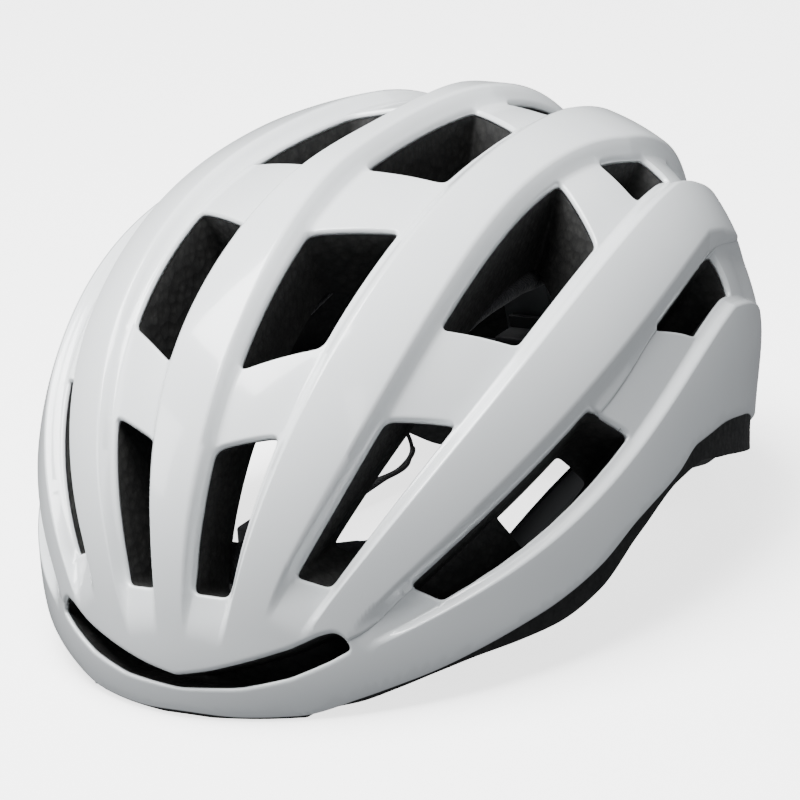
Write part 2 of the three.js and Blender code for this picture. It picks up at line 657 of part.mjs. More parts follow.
const housingPlate = roundedBox(HOUSING.halfWidth, HOUSING.halfHeight, HOUSING.corner);
const beltChannel = box(
  [-60, DIAL.y - 10, DIAL.z - HOUSING.channel],
  [60, DIAL.y + HOUSING.floor, DIAL.z + HOUSING.channel],
);
const shaftBore = aboutDial([[SHAFT_RADIUS + RUNNING_GAP, 0], [SHAFT_RADIUS + RUNNING_GAP, 8]], 32);
add('cradle_housing', plate(housingPlate, HOUSING.front, HOUSING.back).subtract(beltChannel).subtract(shaftBore), NYLON);
add('cradle_cover', plate(housingPlate, COVER.front, COVER.back), NYLON);

// The stem rises behind the dial and follows the rail's curve.
const stemArc = (radius, z) => Math.sqrt(radius ** 2 - (z + DIAL.z - TEMPLE.z) ** 2) + TEMPLE.y - DIAL.y;
const STEM = { foot: 14.3, sole: 16.6, top: 21, halfWidth: 6, thickness: 2.4 };
const stemOutline = [
  [-1, STEM.foot], [11.5, STEM.foot],
  ...[16, 18.5, STEM.top].map((z) => [stemArc(STEM_RADIUS, z), z]),
  ...[STEM.top, 18.5, STEM.sole].map((z) => [stemArc(STEM_RADIUS - STEM.thickness, z), z]),
  [-1, STEM.sole],
];

// A side outline of [y, z] pairs about the dial, given as a width in x about the midline.
function sidePlate(outline, halfWidth) {
  const geometry = extrude(new THREE.Shape(outline.map(([y, z]) => new THREE.Vector2(y, z))), 2 * halfWidth);
  geometry.applyMatrix4(new THREE.Matrix4().makeBasis(Y_AXIS, Z_AXIS, X_AXIS)).translate(-halfWidth, DIAL.y, DIAL.z);
  return toSolid(geometry);
}
add('cradle_stem', sidePlate(stemOutline, STEM.halfWidth), NYLON);

const railAngles = Array.from({ length: 7 }, (unused, i) => THREE.MathUtils.lerp(...RAIL.angles, i / 6));
const railPoint = (angle, radius) => [
  TEMPLE.y + radius * Math.cos(degrees(angle)) - DIAL.y,
  TEMPLE.z + radius * Math.sin(degrees(angle)) - DIAL.z,
];
const railFront = railAngles.map((angle) => railPoint(angle, RAIL.radius));
const railBack = railFront.map(([, z]) => {
  const onWall = cavityHit(new THREE.Vector3(RAIL.halfWidth, CAVITY.y, z + DIAL.z), Y_AXIS, PAD_BED);
  return [onWall.y - DIAL.y, z];
});
add('height_rail', sidePlate([...railFront.reverse(), ...railBack], RAIL.halfWidth), GREY_NYLON);

const PAD_BLOCK = { from: 7, to: 31, halfHeight: 11.5, thickness: 5 };
const rearPadOutline = roundedBox((PAD_BLOCK.to - PAD_BLOCK.from) / 2, PAD_BLOCK.halfHeight, 6)
  .map(([x, z]) => [x + (PAD_BLOCK.from + PAD_BLOCK.to) / 2, z]);
const rearPadBack = COVER.front - FIT_GAP;
addPair('occipital_pad', plate(rearPadOutline, rearPadBack - PAD_BLOCK.thickness, rearPadBack), PAD);

// ---------------------------------------------------------------- dial, pinion and screw

const GRIPS = 12;
const knobOutline = Array.from({ length: GRIPS * 4 }, (unused, i) => {
  const angle = i * 2 * Math.PI / (GRIPS * 4);
  const radius = DIAL.knobRadius - (i % 4 === 0 ? 1.1 : 0) - (i % 4 === 2 ? 0 : 0.25);
  return [radius * Math.cos(angle), radius * Math.sin(angle)];
});
const knobSocket = aboutDial([[SHAFT_RADIUS + RUNNING_GAP, 0], [SHAFT_RADIUS + RUNNING_GAP, 9]], 32);
const knobDish = aboutDial([[8, DIAL.knobTo - 1.2], [9, DIAL.knobTo + 1]], 24);
add('fit_dial', plate(knobOutline, DIAL.knobFrom, DIAL.knobTo).subtract(knobSocket).subtract(knobDish), RUBBER);

const pinionOutline = Array.from({ length: PINION_TEETH }, (unused, tooth) => {
  const middle = tooth * 2 * Math.PI / PINION_TEETH;
  return [[4.75, -0.18], [6.8, -0.05], [6.8, 0.05], [4.75, 0.18]].map(([radius, offset]) => [
    radius * Math.cos(middle + offset),
    radius * Math.sin(middle + offset),
  ]);
}).flat();
const SCREW = { shank: 1.2, head: 2.4, sink: 1.3, reach: 7 };
const shaft = aboutDial([[SHAFT_RADIUS, 1], [SHAFT_RADIUS, 8.6]], 32);
const screwHole = aboutDial([
  [SCREW.head + FIT_GAP, -4], [SCREW.head + FIT_GAP, -RACK.thickness / 2 + SCREW.sink],
  [SCREW.shank + FIT_GAP, -RACK.thickness / 2 + SCREW.sink], [SCREW.shank + FIT_GAP, SCREW.reach + FIT_GAP],
], 16);
add('dial_pinion', plate(pinionOutline, -RACK.thickness / 2, RACK.thickness / 2).add(shaft).subtract(screwHole), GREY_NYLON);
add('dial_screw', aboutDial([
  [SCREW.head, -RACK.thickness / 2 + 0.2], [SCREW.head, -RACK.thickness / 2 + SCREW.sink - FIT_GAP],
  [SCREW.shank, -RACK.thickness / 2 + SCREW.sink - FIT_GAP], [SCREW.shank, SCREW.reach],
], 16), STEEL);

// ---------------------------------------------------------------- chin-strap harness

const STRAPS = {
  strap_front: {
    path: [[55.6, -86, 20], [53.8, -82, 13], [53.6, -64, 5.2], [53, -40, 2], [DIVIDER.x, -1, DIVIDER.lower]],
    across: [[0, 1, 0], [0.3, 1, 0], [1, 0.5, 0], [1, 0, 0], [1, 0, 0]],
  },
  strap_rear: {
    path: [[53.8, 64.2, 27.2], [48.8, 69, 25], [43.4, 72.8, 20.2], [39.6, 74, 9.8], [40.2, 67, 5.6], [43, 52, 4.9],
      [DIVIDER.x - 2, 28, 2.9], [DIVIDER.x, 9, DIVIDER.lower]],
    across: [[0.3, 0.9, 0], [0.48, 0.83, -0.2], [0.48, 0.81, -0.34], [0.48, 0.81, -0.34], [0.5, 0.8, -0.34],
      [0.7, 0.6, -0.3], [1, 0.2, 0], [1, 0, 0]],
  },
  chin_strap: {
    path: [[DIVIDER.x - 3, 3, DIVIDER.upper], [44, -14, DIVIDER.upper], [37, -34, 3.8], [34, -54, 4.2],
      [26, -65.5, BUCKLE.z], [13, -66, BUCKLE.z]],
    across: [[1, -0.3, 0], [1, -0.3, 0], [1, -0.3, 0], [0.9, -0.4, 0], [0.5, -0.9, 0], [0, -1, 0]],
  },
};
const strapRibbon = (name, swell = 0) => {
  const { path, across } = STRAPS[name];
  return ribbon(path, across, WEBBING.width, WEBBING.thickness, 14, swell);
};
addPair('strap_plug_front', strapPlug(STRAP_PLUGS.front), NYLON);
addPair('strap_plug_rear', strapPlug(STRAP_PLUGS.rear), NYLON);
Object.keys(STRAPS).forEach((name) => addPair(name, strapRibbon(name), STRAP));

const dividerOutline = roundedBox(DIVIDER.halfWidth, DIVIDER.halfLength, 4);
const dividerBlock = extrude(new THREE.Shape(dividerOutline.map(([x, y]) => new THREE.Vector2(x, y))), DIVIDER.top - FIT_GAP);
dividerBlock.translate(DIVIDER.x, DIVIDER.y, FIT_GAP);
const divider = Object.keys(STRAPS).reduce((body, name) => body.subtract(strapRibbon(name, FIT_GAP)), toSolid(dividerBlock));
addPair('strap_divider', divider, NYLON);

// The side-release buckle lies across the midline; its prong draws out towards the right.
const chinLeft = strapRibbon('chin_strap', FIT_GAP);
const chinRight = mirrored(chinLeft);
const buckleBox = (from, to) => box(
  [from[0], BUCKLE.y + from[1], BUCKLE.z + from[2]],
  [to[0], BUCKLE.y + to[1], BUCKLE.z + to[2]],
);
const socket = buckleBox([-9, -11, -BUCKLE.halfHeight], [20, 11, BUCKLE.halfHeight])
  .subtract(buckleBox([-20, -8.7, -2.3], [9.5, 8.7, 2.3]))
  .subtract(buckleBox([0, -20, -2.3], [7, 20, 2.3]))
  .subtract(chinLeft);
add('buckle_socket', socket, NYLON);
const prong = buckleBox([-22, -10, -3.6], [-9.3, 10, 3.6])
  .add(buckleBox([-10, -1.6, -1.9], [6, 1.6, 1.9]))
  .add(buckleBox([-10, 5.4, -1.9], [8, 8.3, 1.9]))
  .add(buckleBox([-10, -8.3, -1.9], [8, -5.4, 1.9]))
  .subtract(chinRight);
add('buckle_prong', prong, NYLON);

// Small pieces threaded on the chin strap: a rubber loop for its free end.
const keeperBlock = box([26, -52, 0.8], [44.5, -46, 6]);
add('strap_keeper', keeperBlock.subtract(chinLeft), RUBBER);

export default helmet;
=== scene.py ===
import json
import math

import bmesh
import bpy
import numpy as np
from mathutils import Matrix, Vector, geometry, kdtree


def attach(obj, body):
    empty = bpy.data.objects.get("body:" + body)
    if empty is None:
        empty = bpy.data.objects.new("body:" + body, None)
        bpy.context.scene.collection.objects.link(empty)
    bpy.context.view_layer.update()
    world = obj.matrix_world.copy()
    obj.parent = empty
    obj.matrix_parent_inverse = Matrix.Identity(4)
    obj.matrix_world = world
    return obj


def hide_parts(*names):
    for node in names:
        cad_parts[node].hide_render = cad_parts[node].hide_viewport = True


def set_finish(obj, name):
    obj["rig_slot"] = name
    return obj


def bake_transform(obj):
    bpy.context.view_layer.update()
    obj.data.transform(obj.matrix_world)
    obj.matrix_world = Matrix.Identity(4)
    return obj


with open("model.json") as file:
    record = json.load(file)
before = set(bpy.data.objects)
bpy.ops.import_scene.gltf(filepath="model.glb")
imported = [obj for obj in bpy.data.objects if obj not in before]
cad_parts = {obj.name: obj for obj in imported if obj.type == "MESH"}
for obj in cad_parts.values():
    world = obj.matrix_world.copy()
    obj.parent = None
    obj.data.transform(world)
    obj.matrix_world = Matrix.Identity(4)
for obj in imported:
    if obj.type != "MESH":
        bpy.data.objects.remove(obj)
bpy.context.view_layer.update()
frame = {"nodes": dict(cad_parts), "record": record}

# The looks of a road cycling helmet: moulded shell over a foam liner, comfort pads, the rear fit system
# and the folded chin-strap harness. Shapes are worked out in millimetres in the frame's axes, and turned
# into metres when a mesh is made.

MM = 0.001
HELMET = "helmet"

# ---------------------------------------------------------------- the dome, as the CAD part has it

DOME = np.array([0.0, -0.65, 27.5])
HALF_WIDTH = 109
FRONT_REACH = 148.3
REAR_REACH = 152
CROWN_RISE = 121.7
KEEL_DROP = 82
PLAN_SQUARENESS = (1.93, 2.19)
SIDE_SQUARENESS = (2.39, 2.77)
POLE = DOME - np.array([0, 0, 65])        # the meridians run out from this axis
TUCK = 13                                 # how far the tail curls in at the rim
TUCK_HEIGHT = 38
TUCK_BEGINS = 112                         # bearing from the brow
TUCK_SPREAD = 35
RAY_REACH = 260                           # mm, further than any ray from the axis has to go
WALL_REACH = 220                          # mm, the same for a ray to the cavity's wall

CAVITY_CENTRE = np.array([0.0, -9, 27.5])
CAVITY_SIZE = (82, 114, 92)
CAVITY_POWER = 2.2
CAVITY_DEPTH = 300                        # the cavity is open below, so its floor is out of the way
RIM_FLARE = (0.25, 0.1)                   # how much the cavity widens across and along towards the rear rim
RIM_FLARE_HEIGHT = 30
RIM_FLARE_LENGTH = 80

CHANNEL_STATIONS = (35, 60, 85, 110)
CHANNELS = (
    {"inner": (5.4, 4.9, 3.2, 3.6), "outer": (13.2, 13, 11.4, 9.4),
     "depth": 4.5, "begins": 24, "ends": 142},
    {"inner": (24.2, 23.4, 20.2, 20.4), "outer": (30.2, 30.4, 27.8, 24),
     "depth": 5, "begins": 29, "ends": 140},
    {"inner": (40, 41, 38.4, 33.6), "outer": (42.5, 47.6, 43.6, 37.8),
     "depth": 3.5, "begins": 33, "ends": 132},
)
CHANNEL_RUNS = (8, 12)                    # degrees over which a channel deepens and fades
RIB_SIDE = 2.1                            # degrees over which a rib's side rises
CREST_RISE = 2.2                          # swell of the centre rib over the crown
CREST_STATIONS = (58, 82, 104, 128)

# Vents: channel, then the station of the front and rear end on the inner and outer edge.
VENTS = (
    (0, (29.1, 29.7), (43.6, 46.9)),
    (0, (51.6, 56.9), (69.6, 73.8)),
    (0, (82.9, 83.9), (105.9, 101.6)),
    (0, (111.5, 110), (134, 130)),
    (1, (35, 36.2), (54.2, 59.2)),
    (1, (66, 71.3), (94.6, 90.4)),
    (1, (102.9, 102.1), (113, 113.4)),
    (1, (120, 119), (133, 131)),
    (2, (42.6, 44.5), (75, 79.6)),
    (2, (91, 99), (112.4, 113.6)),
)
SIDE_VENT = VENTS[8]
SIDE_VENT_OPENS = (58.4, 60)              # ahead of this line the foam is only recessed
# Front vents whose foam tunnel leans back inside: the vent, the station where the next one starts on
# its inner and outer edge, and how many degrees its front and rear wall lean at the inner face.
LEANING = ((VENTS[0], (51.6, 56.9), 1.5, 5.5), (VENTS[4], (65.7, 71), 6, 10))
LEAN_RUN_IN = 9
LEAN_SIDE = 4
EDGE_SHIFT = (-0.4, -0.2)                 # degrees added to a vent's two edges for the shell's roll
VENT_ROUNDING = 2.6                       # mm, how softly a vent's corners turn
VENT_LIP = 1.1                            # mm, radius of the shell's rolled edge at a vent
SLOT_LIP = 1.0
SLOT_ROUNDING = 1.2
SEAM_LIP = 0.8
SEAM_STEP = 0.55                          # mm, how far the lower band sits under the crown at the seam
SEAM_STEP_WIDTH = 9
SHELL_THICKNESS = 0.9
LINER_LIFT = -1.35                        # mm, the foam's face from the shell's
RECESS_DEPTH = 12
SLOT_DEPTH = 14
RIM_BLEND = 22                            # mm above the rim over which the wall's rays turn
FOAM_WALL_STEPS = 3
OUTLINE_CLEARANCE = 0.2                   # mm, points nearer an outline than this are on it

# Edges round the helmet, as bearings from the brow and heights above the floor.
LINER_RIM = ((0, 0.8), (7.5, 0), (15, 0), (18, 3.2), (23, 4.6), (28, 7.5), (34, 10.8), (40, 13.1),
             (47, 14.4), (54, 16), (63, 22), (73, 34.4), (86, 44.4), (94, 45.6), (102, 42), (110, 38),
             (120, 32), (130, 24), (140, 16), (150, 8), (157.5, 0), (165, 0), (172.5, 8), (180, 13))
SHELL_RIM = ((0, 2), (7.5, 1.2), (15, 1.4), (23, 5.8), (28, 8.6), (34, 11.7), (40, 15.2), (47, 19.2),
             (54, 23.1), (63, 29.6), (73, 39.3), (86, 46.9), (94, 51.8), (103, 51.7), (115, 47.6), (130, 34),
             (140, 25), (150, 15), (157.5, 6), (165, 6), (172.5, 13), (180, 18))
SHELL_SEAM = ((0, 13.3), (5, 15), (10, 17.5), (15, 20.7), (19.5, 24.5), (24, 28), (31, 38.8), (42, 53.7),
              (52, 63.6), (61, 71.2), (67, 74.2), (93.5, 90.6), (104.6, 92.9), (125, 97.7), (140, 90),
              (155, 80), (180, 72))
BROW_SLOT_TOP = ((0, 15.6), (4.7, 18.2), (10, 22), (15, 25.6), (18.8, 29.4), (20.6, 29.9), (21.8, 27.5))
BROW_SLOT_BOTTOM = ((22.5, 23.6), (19.7, 20.4), (14.6, 15.7), (8.3, 12.5), (3, 11.8), (0, 11.2))


def smooth(x):
    """0 up to 0, 1 from 1 on, and a level start and end between them."""
    x = np.clip(x, 0, 1)
    return x * x * (3 - 2 * x)


def through_stations(values, station):
    """Cubic through four stations, held constant beyond them."""
    at = np.clip(station, CHANNEL_STATIONS[0], CHANNEL_STATIONS[3])
    total = 0
    for i, value in enumerate(values):
        weight = 1
        for j, other in enumerate(CHANNEL_STATIONS):
            if j != i:
                weight = weight * (at - other) / (CHANNEL_STATIONS[i] - other)
        total = total + value * weight
    return total


def height_at(curve, bearing):
    """Monotone cubic through (bearing, height) pairs, mirrored about the midline."""
    xs, ys = np.array(curve, float).T
    x = np.abs(bearing)
    run = np.diff(ys) / np.diff(xs)
    product = run[:-1] * run[1:]
    inner = np.where(product > 0, 2 * product / np.where(product > 0, run[:-1] + run[1:], 1), 0)
    slopes = np.concatenate([[0], inner, [0]])
    i = np.clip(np.searchsorted(xs, x, side="left") - 1, 0, len(xs) - 2)
    span = xs[i + 1] - xs[i]
    t = (x - xs[i]) / span
    rise = t * t * (3 - 2 * t)
    leave = t * (1 - t) ** 2 * span
    arrive = t * t * (t - 1) * span
    return ys[i] * (1 - rise) + ys[i + 1] * rise + slopes[i] * leave + slopes[i + 1] * arrive


def dome_gauge(p, lift):
    """1 on the dome that is `lift` outside the basic one, less inside it. p is from the dome's centre."""
    x, y, z = np.abs(p[:, 0]), p[:, 1], p[:, 2]
    length = np.linalg.norm(p, axis=1) + 1e-9
    rearward = smooth(0.5 + 0.5 * np.clip(1.6 * y / length, -1, 1))
    plan = PLAN_SQUARENESS[0] + (PLAN_SQUARENESS[1] - PLAN_SQUARENESS[0]) * rearward
    side = SIDE_SQUARENESS[0] + (SIDE_SQUARENESS[1] - SIDE_SQUARENESS[0]) * rearward
    reach = np.where(y < 0, FRONT_REACH, REAR_REACH) + lift
    rise = np.where(z > 0, CROWN_RISE, KEEL_DROP) + lift
    in_plan = (x / (HALF_WIDTH + lift)) ** plan + (np.abs(y) / reach) ** plan
    return (in_plan ** (side / plan) + (np.abs(z) / rise) ** side) ** (1 / side)


def ray_hit(origin, direction, gauge, far):
    """How far along each ray from `origin` the gauge reaches 1."""
    near = np.zeros(len(direction))
    far = np.full(len(direction), float(far))
    for step in range(28):
        middle = (near + far) / 2
        inside = gauge(origin + direction * middle[:, None]) < 1
        near = np.where(inside, middle, near)
        far = np.where(inside, far, middle)
    return near


def dome_hit(direction, lift):
    """Where rays from the meridian axis meet the dome that is `lift` outside the basic one."""
    reach = ray_hit(POLE - DOME, direction, lambda p: dome_gauge(p, lift), RAY_REACH)
    return POLE + direction * reach[:, None]


def meridian_direction(meridian, station):
    """Directions from the axis: station 0 is the brow, 90 the crown, 180 the tail."""
    m, s = np.radians(meridian), np.radians(station)
    return np.stack([np.sin(m) * np.sin(s), -np.cos(s), np.cos(m) * np.sin(s)], axis=1)


def relief(meridian, station):
    """How far the surface lies below the plain dome."""
    m = np.abs(meridian)
    begins, full, fades, ends = CREST_STATIONS
    swell = smooth((station - begins) / (full - begins)) * smooth((ends - station) / (ends - fades))
    depth = -CREST_RISE * swell * smooth((through_stations(CHANNELS[0]["inner"], station) - m) / RIB_SIDE)
    for channel in CHANNELS:
        inner = through_stations(channel["inner"], station)
        outer = through_stations(channel["outer"], station)
        run = (smooth((station - channel["begins"]) / CHANNEL_RUNS[0])
               * smooth((channel["ends"] - station) / CHANNEL_RUNS[1]))
        across = smooth((m - inner + RIB_SIDE) / RIB_SIDE) * smooth((outer + RIB_SIDE - m) / RIB_SIDE)
        depth = depth + channel["depth"] * run * across
    return depth


def surface(meridian, station, lift):
    """The point of the ribbed dome on a meridian at a station, `lift` outside the shell's face."""
    direction = meridian_direction(meridian, station)
    lift = lift - relief(meridian, station)
    p = dome_hit(direction, lift)
    bearing = bearing_of(p - DOME)
    low = smooth((TUCK_HEIGHT - (p[:, 2] - DOME[2])) / TUCK_HEIGHT)
    tuck = TUCK * low * smooth((bearing - TUCK_BEGINS) / TUCK_SPREAD)
    return dome_hit(direction, lift - tuck)


def lean_back(meridian, station):
    """How far towards the tail the foam's inner end of a front vent's tunnel is moved, in degrees."""
    m = np.abs(meridian)
    total = np.zeros(len(m))
    for (channel, front, rear), next_front, front_lean, rear_lean in LEANING:
        inner = through_stations(CHANNELS[channel]["inner"], station)
        outer = through_stations(CHANNELS[channel]["outer"], station)
        across = np.clip((m - inner) / (outer - inner), 0, 1)
        begins, ends, fades = (edge[0] + (edge[1] - edge[0]) * across for edge in (front, rear, next_front))
        run_in = front_lean * np.clip((station - begins + LEAN_RUN_IN) / LEAN_RUN_IN, 0, 1)
        within = front_lean + (rear_lean - front_lean) * (station - begins) / (ends - begins)
        run_out = rear_lean * np.clip((fades - station) / (fades - ends), 0, 1)
        along = np.where(station < begins, run_in, np.where(station < ends, within, run_out))
        total += (along * smooth((m - inner + LEAN_SIDE) / LEAN_SIDE)
                  * smooth((outer + LEAN_SIDE - m) / LEAN_SIDE))
    return total


def bearing_of(offset):
    """Degrees round from the brow, the same on both sides."""
    return np.degrees(np.arctan2(np.abs(offset[:, 0]), -offset[:, 1]))


def cavity_gauge(p):
    """1 on the head cavity's wall, less inside it. p is from the cavity's centre."""
    half_width, half_length, rise = CAVITY_SIZE
    height = np.where(p[:, 2] > 0, rise, CAVITY_DEPTH)
    flare = np.clip(-p[:, 2] / RIM_FLARE_HEIGHT, 0, 1) * smooth(p[:, 1] / RIM_FLARE_LENGTH)
    total = (np.abs(p[:, 0] / half_width / (1 + RIM_FLARE[0] * flare)) ** CAVITY_POWER
             + np.abs(p[:, 1] / half_length / (1 + RIM_FLARE[1] * flare)) ** CAVITY_POWER
             + np.abs(p[:, 2] / height) ** CAVITY_POWER)
    return total ** (1 / CAVITY_POWER)


# ---------------------------------------------------------------- the dome rolled out flat

# The plane's axes are (meridian x sin(station), station) in degrees, which keeps lengths nearly true.

DEGREE = 3.0                              # mm to a degree of the plane, near enough
EDGE_GAP = 0.9 / DEGREE                   # between the points of an outline
FIRST_RADIUS = 120.0                      # mm, where the search for a point at a height starts
RADIUS_TURNS = 12
RIB_GAP = 0.3                             # degrees that a rib's points keep from an outline's
RIB_ROWS = (-0.25, 0, 0.25, 0.5, 0.75, 1, 1.3)
RIB_STATIONS = (22, 64, 146)              # start, end of the closer points, end
RIB_STEP = 0.6
CLOSE_STEP = 0.2
LIP_ROWS = (0.12, 0.35, 0.65, 1.0, 1.5)   # parts of a lip's radius
SEAM_ROWS = (0.2, 0.5, 1.0)
RECESS_ROW = 0.35                         # mm
ROW_GAP = 0.06
FILL_STATIONS = (12, 168)
FILL_ROW = 0.76
FILL_STEP = 0.84
FILL_WIDTH = 80                           # degrees of meridian to each side
FILL_GAP = 0.42


def to_plane(meridian, station):
    return np.stack([meridian * np.sin(np.radians(station)), station], axis=1)


def from_plane(points):
    return points[:, 0] / np.sin(np.radians(points[:, 1])), points[:, 1]


def plane_of(p):
    """Plane points of the rays from the meridian axis through points of the frame."""
    offset = p - POLE
    across = np.hypot(offset[:, 0], offset[:, 2])
    station = np.degrees(np.arctan2(across, -offset[:, 1]))
    return to_plane(np.degrees(np.arctan2(offset[:, 0], offset[:, 2])), station)


def plane_at(bearing, height):
    """Plane points of the surface at signed bearings from the brow and heights above the floor."""
    radius = np.full(len(bearing), FIRST_RADIUS)
    angle = np.radians(bearing)
    for turn in range(RADIUS_TURNS):
        offset = [radius * np.sin(angle), -radius * np.cos(angle), height - DOME[2]]
        target = DOME + np.stack(offset, axis=1)
        flat = plane_of(target)
        found = surface(*from_plane(flat), 0) - DOME
        radius = np.hypot(found[:, 0], found[:, 1])
    return flat


def densify(outline, gap):
    """Points every `gap` along a closed outline."""
    closed = np.vstack([outline, outline[:1]])
    lengths = np.linalg.norm(np.diff(closed, axis=0), axis=1)
    travelled = np.concatenate([[0], np.cumsum(lengths)])
    count = max(12, int(round(travelled[-1] / gap)))
    at = np.arange(count) * travelled[-1] / count
    return np.stack([np.interp(at, travelled, closed[:, axis]) for axis in (0, 1)], axis=1)


def rounded(outline, radius, gap):
    """A closed outline with its corners softened, as points every `gap`."""
    points = densify(outline, gap)
    passes = int(round((radius / gap) ** 2))
    for turn in range(passes):
        points = (np.roll(points, 1, axis=0) + 2 * points + np.roll(points, -1, axis=0)) / 4
    return points


def offset_outline(outline, distance):
    """An outline moved outwards in the plane."""
    tangent = np.roll(outline, -1, axis=0) - np.roll(outline, 1, axis=0)
    normal = np.stack([tangent[:, 1], -tangent[:, 0]], axis=1)
    normal /= np.linalg.norm(normal, axis=1)[:, None]
    x, y = outline.T
    area = np.sum(x * np.roll(y, -1) - np.roll(x, -1) * y)
    return outline + normal * distance * (1 if area > 0 else -1)


def inside(points, outline):
    """Which points lie within a closed outline."""
    result = np.zeros(len(points), bool)
    x, y = points.T
    for a, b in zip(outline, np.roll(outline, -1, axis=0)):
        crosses = (a[1] > y) != (b[1] > y)
        where = (b[0] - a[0]) * (y - a[1]) / (b[1] - a[1] if b[1] != a[1] else 1) + a[0]
        result ^= crosses & (x < where)
    return result


def distance_to(points, outlines):
    """Distance of each point to the nearest point of some outlines."""
    targets = np.vstack(outlines)
    nearest = np.empty(len(points))
    for start in range(0, len(points), 2000):
        part = points[start:start + 2000]
        nearest[start:start + 2000] = np.sqrt(((part[:, None] - targets[None]) ** 2).sum(axis=2)).min(axis=1)
    return nearest


def vent_outline(vent, side):
    """A vent's outline in the plane, from its four corners and its channel's edges."""
    channel, front, rear = vent
    steps = np.linspace(0, 1, 9)
    edges = []
    for edge, key in ((0, "inner"), (1, "outer")):
        station = front[edge] + (rear[edge] - front[edge]) * steps
        meridian = through_stations(CHANNELS[channel][key], station) + EDGE_SHIFT[edge]
        edges.append(to_plane(side * meridian, station))
    return rounded(np.vstack([edges[0], edges[1][::-1]]), VENT_ROUNDING / DEGREE, EDGE_GAP)


def both_sides(vents):
    return [vent_outline(vent, side) for vent in vents for side in (1, -1)]


def rim_outline(curve):
    """An edge round the whole helmet, from its heights."""
    bearing = np.arange(-180, 180, 0.5)
    return plane_at(bearing, height_at(curve, bearing))


half_slot = np.array(BROW_SLOT_TOP + BROW_SLOT_BOTTOM, float)
whole_slot = np.vstack([half_slot, half_slot[-2:0:-1] * (-1, 1)])
slot = rounded(plane_at(*densify(whole_slot, 1.0).T), SLOT_ROUNDING / DEGREE, EDGE_GAP)

vent_holes = both_sides(VENTS)
opened_side_vent = (SIDE_VENT[0], SIDE_VENT_OPENS, SIDE_VENT[2])
foam_holes = both_sides(VENTS[:8]) + both_sides((opened_side_vent,)) + both_sides(VENTS[9:])
recesses = both_sides((SIDE_VENT,))
liner_edge = rim_outline(LINER_RIM)
shell_edge = rim_outline(SHELL_RIM)
seam = rim_outline(SHELL_SEAM)


def rib_points():
    """Rows of points that follow the ribs' sides, closer together where the outermost rib begins."""
    first, close, last = RIB_STATIONS
    rows = []
    for channel in CHANNELS:
        for edge, outward in (("inner", -1), ("outer", 1)):
            station = np.arange(first, last, RIB_STEP)
            if channel is CHANNELS[-1] and edge == "outer":
                closer = np.arange(first, close, CLOSE_STEP)
                station = np.concatenate([closer, np.arange(close, last, RIB_STEP)])
            foot = through_stations(channel[edge], station)
            for part in RIB_ROWS:
                meridian = foot + outward * part * RIB_SIDE
                rows += [to_plane(side * meridian, station) for side in (1, -1)]
    return np.vstack(rows)


def fill_points():
    """An even scatter of rows over the rolled-out dome."""
    rows = []
    for row, station in enumerate(np.arange(*FILL_STATIONS, FILL_ROW)):
        half = FILL_WIDTH * math.sin(math.radians(station))
        across = np.arange(-half, half, FILL_STEP) + (FILL_STEP / 2 if row % 2 else 0)
        rows.append(np.stack([across, np.full(len(across), station)], axis=1))
    return np.vstack(rows)


def clear_points(points, others, gap):
    """The points that keep further than `gap` from all the others."""
    tree = kdtree.KDTree(len(others))
    for i, point in enumerate(others):
        tree.insert((*point, 0), i)
    tree.balance()
    return points[[tree.find((*point, 0))[2] > gap for point in points]]


def triangulate():
    """The rolled-out dome as triangles that follow every edge."""
    loops = vent_holes + foam_holes + [slot, liner_edge, shell_edge, seam]
    corners = np.vstack(loops)
    edges = []
    start = 0
    for loop in loops:
        count = len(loop)
        edges += [(start + i, start + (i + 1) % count) for i in range(count)]
        start += count
    rings = []
    for outline, lip in [(hole, VENT_LIP) for hole in vent_holes] + [(slot, SLOT_LIP)]:
        rings += [offset_outline(outline, lip * part / DEGREE) for part in LIP_ROWS]
    for outline in recesses + [slot]:
        rings.append(offset_outline(outline, -RECESS_ROW / DEGREE))
    for outline in (seam, shell_edge):
        rings += [offset_outline(outline, -SEAM_LIP * part / DEGREE) for part in SEAM_ROWS]
    placed = np.vstack([corners, clear_points(np.vstack(rings), corners, ROW_GAP)])
    placed = np.vstack([placed, clear_points(rib_points(), placed, RIB_GAP)])
    scatter = fill_points()
    scatter = scatter[inside(scatter, offset_outline(liner_edge, 1))]
    points = np.vstack([placed, clear_points(scatter, placed, FILL_GAP)])
    result = geometry.delaunay_2d_cdt([Vector(p) for p in points], edges, [], 0, 1e-5, False)
    return np.array([tuple(v) for v in result[0]]), np.array([face for face in result[2] if len(face) == 3])


plane_points, plane_faces = triangulate()
face_centres = plane_points[plane_faces].mean(axis=1)
meridians, stations = from_plane(plane_points)
heart = surface(meridians, stations, 0)
scale_here = np.linalg.norm(heart - POLE, axis=1) * math.pi / 180


def lip_drop(outlines, radius):
    """How far the surface rolls in beside some outlines."""
    reach = np.clip(distance_to(plane_points, outlines) * scale_here, 0, radius)
    return radius - np.sqrt(np.maximum(radius ** 2 - (radius - reach) ** 2, 0))


def any_inside(points, outlines):
    """Which points lie within any of some outlines."""
    return np.any([inside(points, outline) for outline in outlines], axis=0)


# ---------------------------------------------------------------- meshes


def mesh_object(name, points_mm, faces, sharp=40):
    """A smooth-shaded object, with edges over `sharp` degrees kept hard."""
    mesh = bpy.data.meshes.new(name)
    corners = [tuple(int(i) for i in face) for face in faces]
    mesh.from_pydata((np.asarray(points_mm) * MM).tolist(), [], corners)
    mesh.validate()
    mesh.polygons.foreach_set("use_smooth", [True] * len(mesh.polygons))
    mesh.set_sharp_from_angle(angle=math.radians(sharp))
    mesh.update()
    obj = bpy.data.objects.new(name, mesh)
    bpy.context.scene.collection.objects.link(obj)
    return obj


